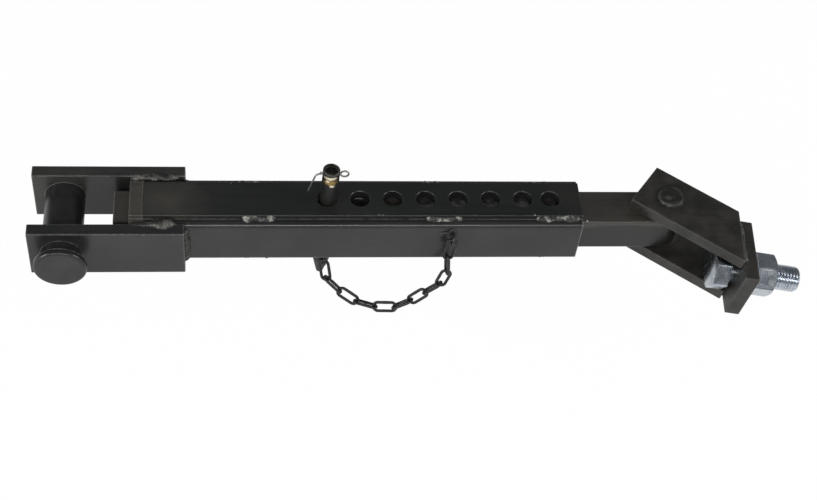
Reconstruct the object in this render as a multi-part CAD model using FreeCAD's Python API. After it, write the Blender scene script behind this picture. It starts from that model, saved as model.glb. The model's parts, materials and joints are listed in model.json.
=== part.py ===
import FreeCAD
import Part
import math
import os

# Telescopic stabiliser strut with a clevis at one end and a swivelling fork at the other.
# Millimetres. The origin is the middle of the clevis pin, between the ears.
# +X runs along the strut towards the fork, +Y is the side away from the chain, +Z is up.

# Sliding square bar.
BAR_SIDE = 38.0
BAR_EDGE_RADIUS = 2.5
BAR_START_X = 45.0
FLOAT_TRAVEL = 34.0

# Outer box: two side walls with a top and a bottom plate set between them.
BOX_START_X = 71.5
BOX_END_X = 470.0
WALL_THICKNESS = 8.0
WALL_HEIGHT = 50.0
WALL_EDGE_RADIUS = 5.0
COVER_THICKNESS = 10.0
SIDE_CLEARANCE = 0.75
COVER_CLEARANCE = 0.5
COLLAR_THICKNESS = 12.0

# Adjustment holes in both cover plates. The last one sits closer than the others.
HOLE_DIAMETER = 18.0
HOLE_CHAMFER = 0.4
FIRST_HOLE_X = 236.0
HOLE_PITCH = 30.0
HOLE_COUNT = 7
LAST_HOLE_PITCH = 25.5

# Clevis ears, welded to the outside of the box.
EAR_THICKNESS = 12.0
EAR_HEIGHT = 55.0
EAR_NOSE = 28.5
EAR_LAP = 37.0
EDGE_BREAK = 0.8

# Clevis pin, drawn out a little so that its head stands off the front ear.
CLEVIS_PIN_DIAMETER = 36.0
CLEVIS_HEAD_DIAMETER = 47.0
CLEVIS_HEAD_THICKNESS = 6.0
CLEVIS_HEAD_RIM = 3.0
CLEVIS_STAND_OFF = 12.0
CLEVIS_TAIL = 2.5
CLEVIS_FIT = 0.08

# Lock pin, which leans slightly in its oversize holes.
LOCK_PIN_DIAMETER = 15.5
LOCK_PIN_TOP_Z = 70.0
LOCK_PIN_TIP_Z = -76.0
LOCK_PIN_TIP_DIAMETER = 6.3
LOCK_NOSE_LENGTH = 20.0
LOCK_PIN_LEAN = 1.9
LOCK_BORE_DIAMETER = 12.0
LOCK_BORE_DEPTH = 2.8
LOCK_EYE_Z = -52.0
LOCK_EYE_TURN = -80.0
LOCK_EYE_REACH = 7.0
LOCK_EYE_HEIGHT = 8.0
LOCK_EYE_WIRE = 2.5

# Split pin through the top of the lock pin.
SPLIT_PIN_DROP = 5.5
SPLIT_WIRE = 1.6
SPLIT_HOLE_DIAMETER = 4.0
SPLIT_EYE_RADIUS = 3.6
SPLIT_LEG_BEND = 5.0
SPLIT_LEG_ANGLE = 76.0
SPLIT_LEG_LENGTH = 20.0
SPLIT_LEG_GAP = 0.2
SPLIT_LEG_REACH = 1.4
SPLIT_STUB = 2.5

# Chain from the lock pin's eye to the staple on the front wall.
LINK_LENGTH = 24.4
LINK_WIDTH = 11.0
LINK_WIRE = 2.5
LINK_GAP = 0.3
BEND_EASE = 4.0
CHAIN_TILT = (-0.12, -0.61, 0.78)
CHAIN_POINTS = (
    (236.12, -10.44, -50.63),
    (239.11, -16.69, -68.09),
    (252.37, -22.64, -79.94),
    (267.94, -28.78, -88.82),
    (286.04, -33.98, -90.47),
    (304.16, -37.34, -86.52),
    (318.53, -38.79, -74.34),
    (330.88, -39.39, -59.80),
    (343.32, -40.78, -45.59),
    (348.18, -40.57, -27.39),
    (346.84, -37.84, -8.67),
    (350.00, -33.65, 9.65),
)
STAPLE_X = 350.0
STAPLE_Z = 8.0
STAPLE_HEIGHT = 9.0
STAPLE_REACH = 11.0
STAPLE_WIRE = 3.0

# Swivelling fork at the bar's far end.
PIVOT_X = 555.0
PIVOT_DIAMETER = 20.0
PIVOT_FIT = 0.08
PIVOT_STAND_OUT = 2.3
PIVOT_BEAD_WIDTH = 3.5
FORK_PLAY = 1.5
HEAD_PLAY = 2.5
FORK_THICKNESS = 12.0
FORK_WIDTH = 50.0
FORK_HEEL = 28.0
FORK_YAW = -38.0

# End plate across the fork, skewed to the fork and tipped a little downwards.
END_CENTRE = (609.6, -56.3, 0.0)
END_YAW = -5.2
END_PITCH = 7.0
END_WIDTH = 67.5
END_HEIGHT = 54.0
END_THICKNESS = 14.0

# M24 bolt with washer and nut. Its head stands off the end plate's inner face.
BOLT_DIAMETER = 24.0
BOLT_ACROSS = -2.9
BOLT_UP = -1.6
BOLT_LENGTH = 70.0
HEAD_STAND_OFF = 6.0
BOLT_CHAMFER = 2.0
PITCH_DIAMETER = 22.0
HEX_FLATS = 36.0
NUT_TURN = -8.0
HEAD_HEIGHT = 15.0
NUT_HEIGHT = 21.5
NUT_FIT = 0.06
NUT_END_GAP = 0.3
WASHER_BORE = 25.0
WASHER_DIAMETER = 46.0
WASHER_THICKNESS = 4.0

# Weld beads.
BEAD_STEP = 3.2
STITCH_RADIUS = 3.6
CLEVIS_BEAD_RADIUS = 6.0
EAR_END_BEAD_RADIUS = 4.6
FORK_BEAD_RADIUS = 4.0
FRONT_STITCHES = ((159.0, 190.0), (325.0, 359.0), (427.0, 466.0))
BACK_STITCHES = ((155.0, 176.0), (324.0, 341.0), (419.0, 445.0))

Vector = FreeCAD.Vector
X_AXIS = Vector(1, 0, 0)
Y_AXIS = Vector(0, 1, 0)
Z_AXIS = Vector(0, 0, 1)

# Places that follow from the sizes above.
BAR_HALF = BAR_SIDE / 2
CHANNEL_HALF = BAR_HALF + SIDE_CLEARANCE
BOX_HALF_WIDTH = CHANNEL_HALF + WALL_THICKNESS
WALL_HALF = WALL_HEIGHT / 2
COVER_UNDER_Z = BAR_HALF + COVER_CLEARANCE
COVER_TOP_Z = COVER_UNDER_Z + COVER_THICKNESS
EAR_OUTER_Y = BOX_HALF_WIDTH + EAR_THICKNESS
EAR_END_X = BOX_START_X + EAR_LAP
EAR_HALF = EAR_HEIGHT / 2
FORK_INNER_Z = max(BAR_HALF + FORK_PLAY, HEX_FLATS / 2 + HEAD_PLAY)
FORK_OUTER_Z = FORK_INNER_Z + FORK_THICKNESS
HOLE_XS = [FIRST_HOLE_X + HOLE_PITCH * i for i in range(HOLE_COUNT)]
HOLE_XS.append(HOLE_XS[-1] + LAST_HOLE_PITCH)
NUT_START = END_THICKNESS + WASHER_THICKNESS
NUT_END = NUT_START + NUT_HEIGHT


def block(x0, x1, y0, y1, z0, z1):
    """Axis-aligned box between two corners."""
    return Part.makeBox(x1 - x0, y1 - y0, z1 - z0, Vector(x0, y0, z0))


def rod(start, end, diameter):
    """Round bar between two points."""
    line = end - start
    return Part.makeCylinder(diameter / 2, line.Length, start, line)


def long_edges(shape, direction):
    """Straight edges of a shape that run along a direction."""
    edges = []
    for edge in shape.Edges:
        straight = isinstance(edge.Curve, Part.Line)
        if straight and edge.tangentAt(edge.FirstParameter).cross(direction).Length < 1e-6:
            edges.append(edge)
    return edges


def broken(shape, radius=EDGE_BREAK):
    """A plate with all its edges rounded a little."""
    return shape.makeFillet(radius, shape.Edges)


def hex_prism(flats, height, bore=0.0, both_ends=False):
    """Hexagon along +X from the origin, flats up and down, with its corners turned off at 30 degrees."""
    corner = flats / math.sqrt(3)
    turns = [math.radians(60 * i) for i in range(7)]
    points = [Vector(0, corner * math.cos(turn), corner * math.sin(turn)) for turn in turns]
    prism = Part.Face(Part.makePolygon(points)).extrude(X_AXIS * height)
    face_radius = 0.475 * flats
    wide_radius = face_radius + height / math.tan(math.radians(30))
    prism = prism.common(Part.makeCone(face_radius, wide_radius, height, Vector(), X_AXIS))
    if both_ends:
        prism = prism.common(Part.makeCone(face_radius, wide_radius, height, X_AXIS * height, X_AXIS * -1))
    if bore:
        prism = prism.cut(Part.makeCylinder(bore / 2, height, Vector(), X_AXIS))
    return prism


def wire_along(edges, diameter):
    """Round wire swept along a path of edges."""
    path = Part.Wire(edges)
    first = edges[0]
    start = first.valueAt(first.FirstParameter)
    circle = Part.Circle(start, first.tangentAt(first.FirstParameter), diameter / 2)
    return path.makePipeShell([Part.Wire(circle.toShape())], True, False)


def u_edges(foot, out, reach, radius):
    """Path of an upright U: out from its lower foot, round the crown and back to the upper foot."""
    bend = foot + out * (reach - radius)
    rise = Z_AXIS * (2 * radius)
    crown = bend + out * radius + Z_AXIS * radius
    return [
        Part.makeLine(foot, bend),
        Part.Arc(bend, crown, bend + rise).toShape(),
        Part.makeLine(bend + rise, foot + rise),
    ]


def bead(start, end, radius, first_side, second_side):
    """Ripples of a fillet weld along an inside corner, between the two directions its flat sides face."""
    line = end - start
    count = max(3, round(line.Length / BEAD_STEP))
    step = line.Length / count
    valley = 0.84 * radius
    tops = [Vector(step * i, valley if 0 < i < count else 0.6 * valley, 0) for i in range(count + 1)]
    edges = [Part.makeLine(Vector(), tops[0])]
    for i in range(count):
        crest = radius * (1 + 0.07 * math.sin(2.3 * i)) if 0 < i < count - 1 else 0.9 * radius
        edges.append(Part.Arc(tops[i], Vector(step * (i + 0.48), crest, 0), tops[i + 1]).toShape())
    edges.append(Part.makeLine(tops[-1], Vector(line.Length, 0, 0)))
    edges.append(Part.makeLine(Vector(line.Length, 0, 0), Vector()))
    ripples = Part.Face(Part.Wire(edges)).revolve(Vector(), X_AXIS, 90)
    along = line.normalize()
    if along.dot(first_side.cross(second_side)) < 0:
        first_side, second_side = second_side, first_side
    turn = FreeCAD.Rotation(along, first_side, second_side, "XYZ")
    ripples.Placement = FreeCAD.Placement(start, turn)
    return ripples


def ring_bead(centre, inner_radius, width, height, up):
    """Weld round a pin end that stands on a flat plate."""
    low = Vector(inner_radius, 0, 0)
    out = Vector(inner_radius + width, 0, 0)
    crown = Vector(inner_radius + 0.72 * width, 0, 0.8 * up * height)
    top = Vector(inner_radius, 0, up * height)
    edges = [Part.makeLine(low, out), Part.Arc(out, crown, top).toShape(), Part.makeLine(top, low)]
    ring = Part.Face(Part.Wire(edges)).revolve(Vector(), Z_AXIS, 360)
    ring.translate(centre)
    return ring


def save(name, *solids):
    """Write one node, of one or more separate solids."""
    shape = solids[0] if len(solids) == 1 else Part.makeCompound(list(solids))
    shape.exportStep("parts/" + name + ".step")


def hole_cutters(z_low, z_high):
    """Adjustment holes through a cover plate, with both mouths chamfered."""
    radius = HOLE_DIAMETER / 2
    cutters = []
    for x in HOLE_XS:
        cutters.append(Part.makeCylinder(radius, z_high - z_low, Vector(x, 0, z_low)))
        for z, way in ((z_high, -1), (z_low, 1)):
            mouth = Part.makeCone(radius + HOLE_CHAMFER, radius, HOLE_CHAMFER, Vector(x, 0, z), Z_AXIS * way)
            cutters.append(mouth)
    return cutters


# --- Outer box ---

def side_wall(side):
    wall = block(BOX_START_X, BOX_END_X, CHANNEL_HALF, BOX_HALF_WIDTH, -WALL_HALF, WALL_HALF)
    outer = [e for e in long_edges(wall, X_AXIS) if e.BoundBox.YMin > CHANNEL_HALF + WALL_THICKNESS / 2]
    wall = wall.makeFillet(WALL_EDGE_RADIUS, outer)
    return wall if side > 0 else wall.mirror(Vector(), Y_AXIS)


def cover_plate(side):
    plate = block(BOX_START_X, BOX_END_X, -CHANNEL_HALF, CHANNEL_HALF, COVER_UNDER_Z, COVER_TOP_Z)
    plate = plate.makeFillet(EDGE_BREAK, [e for e in plate.Edges if e.BoundBox.ZMin > COVER_TOP_Z - 0.1])
    plate = plate.cut(hole_cutters(COVER_UNDER_Z, COVER_TOP_Z))
    return plate if side > 0 else plate.mirror(Vector(), Z_AXIS)


def end_collar():
    """Plate across the end of the box, raised in the middle to meet the covers."""
    x0 = BOX_START_X - COLLAR_THICKNESS
    collar = block(x0, BOX_START_X, -BOX_HALF_WIDTH, BOX_HALF_WIDTH, -WALL_HALF, WALL_HALF)
    raised = block(x0, BOX_START_X, -CHANNEL_HALF, CHANNEL_HALF, -COVER_TOP_Z, COVER_TOP_Z)
    collar = collar.fuse(raised).removeSplitter()
    return collar.cut(block(x0, BOX_START_X, -CHANNEL_HALF, CHANNEL_HALF, -COVER_UNDER_Z, COVER_UNDER_Z))


walls = [side_wall(-1), side_wall(1)]
covers = [cover_plate(1), cover_plate(-1)]
collar = end_collar()


# --- Clevis ---

def ear(side):
    plate = block(-EAR_NOSE, EAR_END_X, BOX_HALF_WIDTH, EAR_OUTER_Y, -EAR_HALF, EAR_HALF)
    hole = Part.makeCylinder(
        CLEVIS_PIN_DIAMETER / 2 + CLEVIS_FIT, EAR_THICKNESS, Vector(0, BOX_HALF_WIDTH, 0), Y_AXIS
    )
    plate = broken(plate).cut(hole)
    return plate if side > 0 else plate.mirror(Vector(), Y_AXIS)


ears = [ear(-1), ear(1)]

# The head stands off the front ear, and the tail comes just past the back one.
HEAD_BACK_Y = -EAR_OUTER_Y - CLEVIS_STAND_OFF


def clevis_pin():
    tail_y = EAR_OUTER_Y + CLEVIS_TAIL
    shank = rod(Vector(0, HEAD_BACK_Y, 0), Vector(0, tail_y, 0), CLEVIS_PIN_DIAMETER)
    return shank.makeChamfer(1.5, [e for e in shank.Edges if e.BoundBox.YMin > tail_y - 0.1])


def clevis_head():
    face_y = HEAD_BACK_Y - CLEVIS_HEAD_THICKNESS
    head = rod(Vector(0, face_y, 0), Vector(0, HEAD_BACK_Y, 0), CLEVIS_HEAD_DIAMETER)
    front_rim = [e for e in head.Edges if e.BoundBox.YMax < face_y + 0.1]
    return head.makeFillet(CLEVIS_HEAD_RIM, front_rim)


# --- Sliding bar ---

def sliding_bar():
    bar = block(BAR_START_X, PIVOT_X, -BAR_HALF, BAR_HALF, -BAR_HALF, BAR_HALF)
    bar = bar.makeFillet(BAR_EDGE_RADIUS, long_edges(bar, X_AXIS))
    nose = Part.makeCylinder(BAR_HALF, BAR_SIDE, Vector(PIVOT_X, 0, -BAR_HALF))
    nose = nose.makeFillet(BAR_EDGE_RADIUS, [e for e in nose.Edges if isinstance(e.Curve, Part.Circle)])
    bar = bar.fuse(nose).removeSplitter()
    slot_radius = HOLE_DIAMETER / 2
    slot_end = FIRST_HOLE_X + FLOAT_TRAVEL
    for x in (FIRST_HOLE_X, slot_end):
        bar = bar.cut(Part.makeCylinder(slot_radius, BAR_SIDE, Vector(x, 0, -BAR_HALF)))
    bar = bar.cut(block(FIRST_HOLE_X, slot_end, -slot_radius, slot_radius, -BAR_HALF, BAR_HALF))
    return bar.cut(Part.makeCylinder(PIVOT_DIAMETER / 2 + PIVOT_FIT, BAR_SIDE, Vector(PIVOT_X, 0, -BAR_HALF)))


# --- Fork, built along +X about the pivot and then turned to its rest angle ---

FORK_TURN = FreeCAD.Placement(Vector(PIVOT_X, 0, 0), FreeCAD.Rotation(Z_AXIS, FORK_YAW))
END_PLACE = FreeCAD.Placement(Vector(*END_CENTRE), FreeCAD.Rotation(END_YAW, END_PITCH, 0))
BOLT_PLACE = END_PLACE.multiply(FreeCAD.Placement(Vector(0, BOLT_ACROSS, BOLT_UP), FreeCAD.Rotation()))


def beyond_end():
    """Everything on the far side of the end plate's inner face."""
    space = block(0, 300, -200, 200, -200, 200)
    space.Placement = END_PLACE
    return space


def fork_plate(side):
    plate = block(-FORK_HEEL, 2 * END_WIDTH, -FORK_WIDTH / 2, FORK_WIDTH / 2, FORK_INNER_Z, FORK_OUTER_Z)
    if side < 0:
        plate = plate.mirror(Vector(), Z_AXIS)
    plate.Placement = FORK_TURN
    plate = broken(plate.cut(beyond_end()))
    return plate.cut(Part.makeCylinder(PIVOT_DIAMETER / 2, 2 * FORK_OUTER_Z, Vector(PIVOT_X, 0, -FORK_OUTER_Z)))


def end_plate():
    half_y = END_WIDTH / 2
    half_z = END_HEIGHT / 2
    plate = broken(block(0, END_THICKNESS, -half_y, half_y, -half_z, half_z))
    plate = plate.cut(
        Part.makeCylinder(BOLT_DIAMETER / 2, END_THICKNESS, Vector(0, BOLT_ACROSS, BOLT_UP), X_AXIS)
    )
    plate.Placement = END_PLACE
    return plate


def bolt():
    """Bolt at its full thread diameter, but at its pitch diameter inside the nut."""
    head = hex_prism(HEX_FLATS, HEAD_HEIGHT)
    under_head = Vector(-HEAD_STAND_OFF, 0, 0)
    head.translate(under_head - X_AXIS * HEAD_HEIGHT)
    radius = BOLT_DIAMETER / 2
    shank = Part.makeCylinder(radius, HEAD_STAND_OFF + NUT_START, under_head, X_AXIS)
    free_start = NUT_END + NUT_END_GAP
    core = Part.makeCylinder(PITCH_DIAMETER / 2, free_start, Vector(), X_AXIS)
    tip_x = BOLT_LENGTH - HEAD_STAND_OFF
    free_end = Part.makeCylinder(radius, tip_x - free_start, Vector(free_start, 0, 0), X_AXIS)
    free_end = free_end.makeChamfer(BOLT_CHAMFER, [e for e in free_end.Edges if e.BoundBox.XMin > tip_x - 0.1])
    whole = head.fuse([shank, core, free_end]).removeSplitter()
    whole.Placement = BOLT_PLACE
    return whole


def washer():
    ring = Part.makeCylinder(WASHER_DIAMETER / 2, WASHER_THICKNESS, Vector(END_THICKNESS, 0, 0), X_AXIS)
    ring = ring.makeChamfer(0.6, [e for e in ring.Edges if isinstance(e.Curve, Part.Circle)])
    ring = ring.cut(Part.makeCylinder(WASHER_BORE / 2, 2 * END_THICKNESS, Vector(), X_AXIS))
    ring.Placement = BOLT_PLACE
    return ring


def nut():
    body = hex_prism(HEX_FLATS, NUT_HEIGHT, PITCH_DIAMETER + 2 * NUT_FIT, both_ends=True)
    seat = FreeCAD.Placement(Vector(NUT_START, 0, 0), FreeCAD.Rotation(X_AXIS, NUT_TURN))
    body.Placement = BOLT_PLACE.multiply(seat)
    return body


fork_plates = [fork_plate(1), fork_plate(-1)]
end = end_plate()
PIVOT_END_Z = FORK_OUTER_Z + PIVOT_STAND_OUT
pivot = rod(Vector(PIVOT_X, 0, -PIVOT_END_Z), Vector(PIVOT_X, 0, PIVOT_END_Z), PIVOT_DIAMETER)
pivot = pivot.makeChamfer(0.6, [e for e in pivot.Edges if isinstance(e.Curve, Part.Circle)])


def end_point(across, up, out=0.0):
    """Point on the end plate, from its own middle: out of its inner face, across it and up it."""
    return END_PLACE.multVec(Vector(out, across, up))


def fork_welds():
    """Beads where both fork plates butt against the end plate, and round both ends of the pivot."""
    half_y = END_WIDTH / 2
    out_way = END_PLACE.Rotation.multVec(X_AXIS)
    up_way = END_PLACE.Rotation.multVec(Z_AXIS)
    beads = []
    for side, plate in zip((1, -1), fork_plates):
        corners = [END_PLACE.inverse().multVec(v.Point) for v in plate.Vertexes]
        reach = [p.y for p in corners if p.x > -1]
        start = end_point(max(min(reach), -half_y) + 1, side * END_HEIGHT / 2)
        stop = end_point(min(max(reach), half_y) - 3, side * END_HEIGHT / 2)
        beads.append(bead(start, stop, FORK_BEAD_RADIUS, out_way, up_way * side))
        centre = Vector(PIVOT_X, 0, side * FORK_OUTER_Z)
        beads.append(ring_bead(centre, PIVOT_DIAMETER / 2, PIVOT_BEAD_WIDTH, PIVOT_STAND_OUT - 0.7, side))
    return beads


# --- Lock pin with its eye and split pin ---

LEAN = FreeCAD.Placement(
    Vector(FIRST_HOLE_X, 0, 0), FreeCAD.Rotation(Y_AXIS, LOCK_PIN_LEAN)
)


def lock_pin():
    radius = LOCK_PIN_DIAMETER / 2
    nose_z = LOCK_PIN_TIP_Z + LOCK_NOSE_LENGTH
    shank = Part.makeCylinder(radius, LOCK_PIN_TOP_Z - nose_z, Vector(0, 0, nose_z))
    shank = shank.makeChamfer(0.8, [e for e in shank.Edges if e.BoundBox.ZMin > LOCK_PIN_TOP_Z - 0.1])
    nose = Part.makeCone(LOCK_PIN_TIP_DIAMETER / 2, radius, LOCK_NOSE_LENGTH, Vector(0, 0, LOCK_PIN_TIP_Z))
    nose = nose.makeFillet(1.2, [e for e in nose.Edges if e.BoundBox.ZMax < LOCK_PIN_TIP_Z + 0.1])
    recess = Part.makeCylinder(
        LOCK_BORE_DIAMETER / 2, LOCK_BORE_DEPTH, Vector(0, 0, LOCK_PIN_TOP_Z - LOCK_BORE_DEPTH)
    )
    cross = Part.makeCylinder(
        SPLIT_HOLE_DIAMETER / 2, 2 * radius, Vector(-radius, 0, LOCK_PIN_TOP_Z - SPLIT_PIN_DROP), X_AXIS
    )
    return shank.fuse(nose).removeSplitter().cut([recess, cross])


def nose_radius(z):
    """Radius of the lock pin at a height on or above its tapered nose."""
    share = min((z - LOCK_PIN_TIP_Z) / LOCK_NOSE_LENGTH, 1)
    return (LOCK_PIN_TIP_DIAMETER + (LOCK_PIN_DIAMETER - LOCK_PIN_TIP_DIAMETER) * share) / 2


def lock_eye(pin):
    """Small upright U of wire on the nose, with the chain's first link on its lower leg."""
    radius = LOCK_EYE_HEIGHT / 2
    crown_x = nose_radius(LOCK_EYE_Z) + LOCK_EYE_REACH
    edges = u_edges(Vector(0, 0, LOCK_EYE_Z), X_AXIS, crown_x, radius)
    eye = wire_along(edges, LOCK_EYE_WIRE)
    eye.rotate(Vector(), Z_AXIS, LOCK_EYE_TURN)
    return eye.cut(pin)


def bent(start, way, radius, angle):
    """Point reached after bending from -X towards another direction by an angle."""
    turn = math.radians(angle)
    return start - X_AXIS * (radius * math.sin(turn)) + way * (radius * (1 - math.cos(turn)))


def split_pin():
    """Two-legged pin: a ring on one side of the lock pin, one leg bent down on the other and one short."""
    radius = LOCK_PIN_DIAMETER / 2
    level = LOCK_PIN_TOP_Z - SPLIT_PIN_DROP
    offset = (SPLIT_WIRE + SPLIT_LEG_GAP) / 2
    inner_x = radius + SPLIT_LEG_REACH
    out = Vector(-radius - 1.5, 0, level - offset)
    middle, corner = [
        bent(out, Z_AXIS * -1, SPLIT_LEG_BEND, SPLIT_LEG_ANGLE * share) for share in (0.5, 1)
    ]
    turn = math.radians(SPLIT_LEG_ANGLE)
    end = corner - (Z_AXIS * math.sin(turn) + X_AXIS * math.cos(turn)) * SPLIT_LEG_LENGTH
    path = [
        Part.makeLine(Vector(inner_x, 0, level - offset), out),
        Part.Arc(out, middle, corner).toShape(),
        Part.makeLine(corner, end),
    ]
    long_leg = wire_along(path, SPLIT_WIRE)
    stub_x = -radius - SPLIT_STUB
    short_leg = Part.makeCylinder(SPLIT_WIRE / 2, inner_x - stub_x, Vector(stub_x, 0, level + offset), X_AXIS)
    ring = Part.makeTorus(
        SPLIT_EYE_RADIUS, SPLIT_WIRE / 2, Vector(radius + 0.6 + SPLIT_EYE_RADIUS, 0, level), Y_AXIS
    )
    return long_leg.fuse([short_leg, ring])


# --- Chain ---

STAPLE_CROWN_Y = -BOX_HALF_WIDTH - STAPLE_REACH
LINK_HALF = (LINK_LENGTH - LINK_WIRE) / 2
# Where one link's wire passes another's, both centre lines lie this far from the point between them.
HOOK = (LINK_WIRE + LINK_GAP) / 2


def link(middle, along, across):
    """One long link: two straight sides and two half-round ends."""
    radius = (LINK_WIDTH - LINK_WIRE) / 2
    straight = LINK_HALF - radius
    signs = ((-1, 1), (1, 1), (1, -1), (-1, -1))
    corners = [middle + along * (straight * a) + across * (radius * b) for a, b in signs]
    edges = [
        Part.makeLine(corners[0], corners[1]),
        Part.Arc(corners[1], middle + along * LINK_HALF, corners[2]).toShape(),
        Part.makeLine(corners[2], corners[3]),
        Part.Arc(corners[3], middle - along * LINK_HALF, corners[0]).toShape(),
    ]
    return wire_along(edges, LINK_WIRE)


def chain_hooks(points):
    """How far the links reach past each of their meeting points, more where the chain bends."""
    hooks = [HOOK]
    for before, here, after in zip(points, points[1:], points[2:]):
        bend = (here - before).getAngle(after - here)
        hooks.append(HOOK / math.cos(bend / 2) ** BEND_EASE)
    return hooks + [HOOK]


def chain_links():
    """Links that face alternately across and along the chain's tilt."""
    points = [Vector(*point) for point in CHAIN_POINTS]
    hooks = chain_hooks(points)
    tilt = Vector(*CHAIN_TILT)
    links = []
    for i in range(len(points) - 1):
        along = points[i + 1] - points[i]
        along.normalize()
        middle = (points[i] + points[i + 1] + along * (hooks[i + 1] - hooks[i])) / 2
        across = along.cross(tilt)
        if i % 2:
            across = across.cross(along)
        across.normalize()
        links.append(link(middle, along, across))
    return links


def chain_staple(wall):
    """U of wire that stands out of the front wall, one leg above the other."""
    inside_y = -BOX_HALF_WIDTH + 1
    reach = inside_y - STAPLE_CROWN_Y
    edges = u_edges(Vector(STAPLE_X, inside_y, STAPLE_Z), Y_AXIS * -1, reach, STAPLE_HEIGHT / 2)
    return wire_along(edges, STAPLE_WIRE).cut(wall)


# --- Welds on the box and the clevis ---

def box_welds():
    """Stitches along both edges of both covers, in the corners that they make with the walls."""
    beads = []
    for side, stitches in ((-1, FRONT_STITCHES), (1, BACK_STITCHES)):
        for low_x, high_x in stitches:
            for up in (1, -1):
                y = side * CHANNEL_HALF
                z = up * WALL_HALF
                start, stop = Vector(low_x, y, z), Vector(high_x, y, z)
                beads.append(bead(start, stop, STITCH_RADIUS, Y_AXIS * side, Z_AXIS * up))
    return beads


def clevis_welds():
    """Beads along the ears, above and below the box, and up their ends."""
    low_x = BOX_START_X - COLLAR_THICKNESS + 1
    high_x = EAR_END_X - 6
    beads = []
    for side in (-1, 1):
        y = side * BOX_HALF_WIDTH
        for up in (1, -1):
            start, stop = [Vector(x, y, up * WALL_HALF) for x in (low_x, high_x)]
            beads.append(bead(start, stop, CLEVIS_BEAD_RADIUS, Y_AXIS * -side, Z_AXIS * up))
        flat_z = WALL_HALF - WALL_EDGE_RADIUS
        start, stop = [Vector(EAR_END_X, y, z) for z in (-flat_z, flat_z)]
        beads.append(bead(start, stop, EAR_END_BEAD_RADIUS, X_AXIS, Y_AXIS * side))
    return beads


def main():
    os.makedirs("parts", exist_ok=True)
    save("ear_front", ears[0])
    save("ear_back", ears[1])
    save("end_collar", collar)
    save("side_wall_front", walls[0])
    save("side_wall_back", walls[1])
    save("top_cover", covers[0])
    save("bottom_cover", covers[1])
    save("box_welds", *box_welds())
    save("clevis_welds", *clevis_welds())
    save("chain_staple", chain_staple(walls[0]))
    save("clevis_pin", clevis_pin())
    save("clevis_pin_head", clevis_head())
    save("sliding_bar", sliding_bar())
    save("fork_top_plate", fork_plates[0])
    save("fork_bottom_plate", fork_plates[1])
    save("fork_end_plate", end)
    save("fork_welds", *fork_welds())
    save("pivot_pin", pivot)
    save("bolt", bolt())
    save("washer", washer())
    save("nut", nut())
    pin = lock_pin()
    for name, shape in (("lock_pin", pin), ("lock_pin_eye", lock_eye(pin)), ("split_pin", split_pin())):
        shape.Placement = LEAN
        save(name, shape)
    for number, shape in enumerate(chain_links(), start=1):
        save("chain_link_%02d" % number, shape)


main()
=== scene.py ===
import json
import math

import bmesh
import bpy
from mathutils import Matrix, Vector, noise


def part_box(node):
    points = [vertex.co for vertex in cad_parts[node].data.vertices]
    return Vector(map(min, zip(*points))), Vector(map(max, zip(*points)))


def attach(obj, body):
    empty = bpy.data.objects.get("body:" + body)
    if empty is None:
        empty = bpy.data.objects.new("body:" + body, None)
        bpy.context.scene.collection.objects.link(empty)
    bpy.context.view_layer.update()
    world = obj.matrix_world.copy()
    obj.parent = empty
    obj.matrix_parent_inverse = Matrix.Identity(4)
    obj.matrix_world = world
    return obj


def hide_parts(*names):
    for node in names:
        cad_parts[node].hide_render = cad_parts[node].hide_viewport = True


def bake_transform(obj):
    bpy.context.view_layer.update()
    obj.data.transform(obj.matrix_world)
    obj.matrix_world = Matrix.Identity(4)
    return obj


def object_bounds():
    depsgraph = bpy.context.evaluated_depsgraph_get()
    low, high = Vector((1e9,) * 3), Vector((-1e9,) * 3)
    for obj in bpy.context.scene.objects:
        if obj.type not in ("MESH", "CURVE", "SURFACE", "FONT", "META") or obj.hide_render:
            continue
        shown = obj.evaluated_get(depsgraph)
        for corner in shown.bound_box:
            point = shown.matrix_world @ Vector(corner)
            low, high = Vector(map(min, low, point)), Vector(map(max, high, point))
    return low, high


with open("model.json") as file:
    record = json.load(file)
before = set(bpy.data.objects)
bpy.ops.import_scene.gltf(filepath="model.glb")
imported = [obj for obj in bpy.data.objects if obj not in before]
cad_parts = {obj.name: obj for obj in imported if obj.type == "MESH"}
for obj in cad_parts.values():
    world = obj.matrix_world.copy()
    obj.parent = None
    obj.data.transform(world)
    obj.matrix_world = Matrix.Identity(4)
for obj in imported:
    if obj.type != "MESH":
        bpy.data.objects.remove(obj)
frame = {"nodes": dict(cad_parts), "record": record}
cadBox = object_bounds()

mm = 0.001
nodes = frame["nodes"]
jointSpecs = {spec["name"]: spec for spec in frame["record"]["behaviour"]["joints"]}

# Camera, light and floor. Lengths in metres.
cameraSpec = {
    "position": (0.1474, -0.9158, 1.1310),
    "forward": (0.12028, 0.61217, -0.78152),
    "right": (0.99274, -0.07562, 0.09355),
    "focalLength": 1.93580,      # in picture widths
    "sensorMm": 36.0,
    "shift": (-0.0143, -0.0066),
    "clipEnd": 50,
}
lightSpec = {
    "aim": (0.33, -0.02, 0.0),
    "frontSoftbox": {"from": (0.15, -1.35, 1.02), "size": (1.8, 0.22), "power": 16.0},
    "rightSoftbox": {"from": (1.90, -0.30, 0.80), "size": (0.7, 0.7), "power": 13.0},
    "leftSoftbox": {"from": (-1.30, -0.60, 0.60), "size": (0.6, 0.6), "power": 13.0},
    "horizon": "#6a6c6e",
    "overhead": "#6c6d6e",
    "fade": (0.05, 0.55),      # sine of the height at which the room's shade starts and ends changing
}
floorSpec = {
    "colour": "#f4f4f3", "below": 0.010, "size": 14.0,
    "whiteSeen": 0.985,      # glow seen by the camera
    "whiteMirrored": 0.24,   # glow seen in the part's own shine
}


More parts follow.
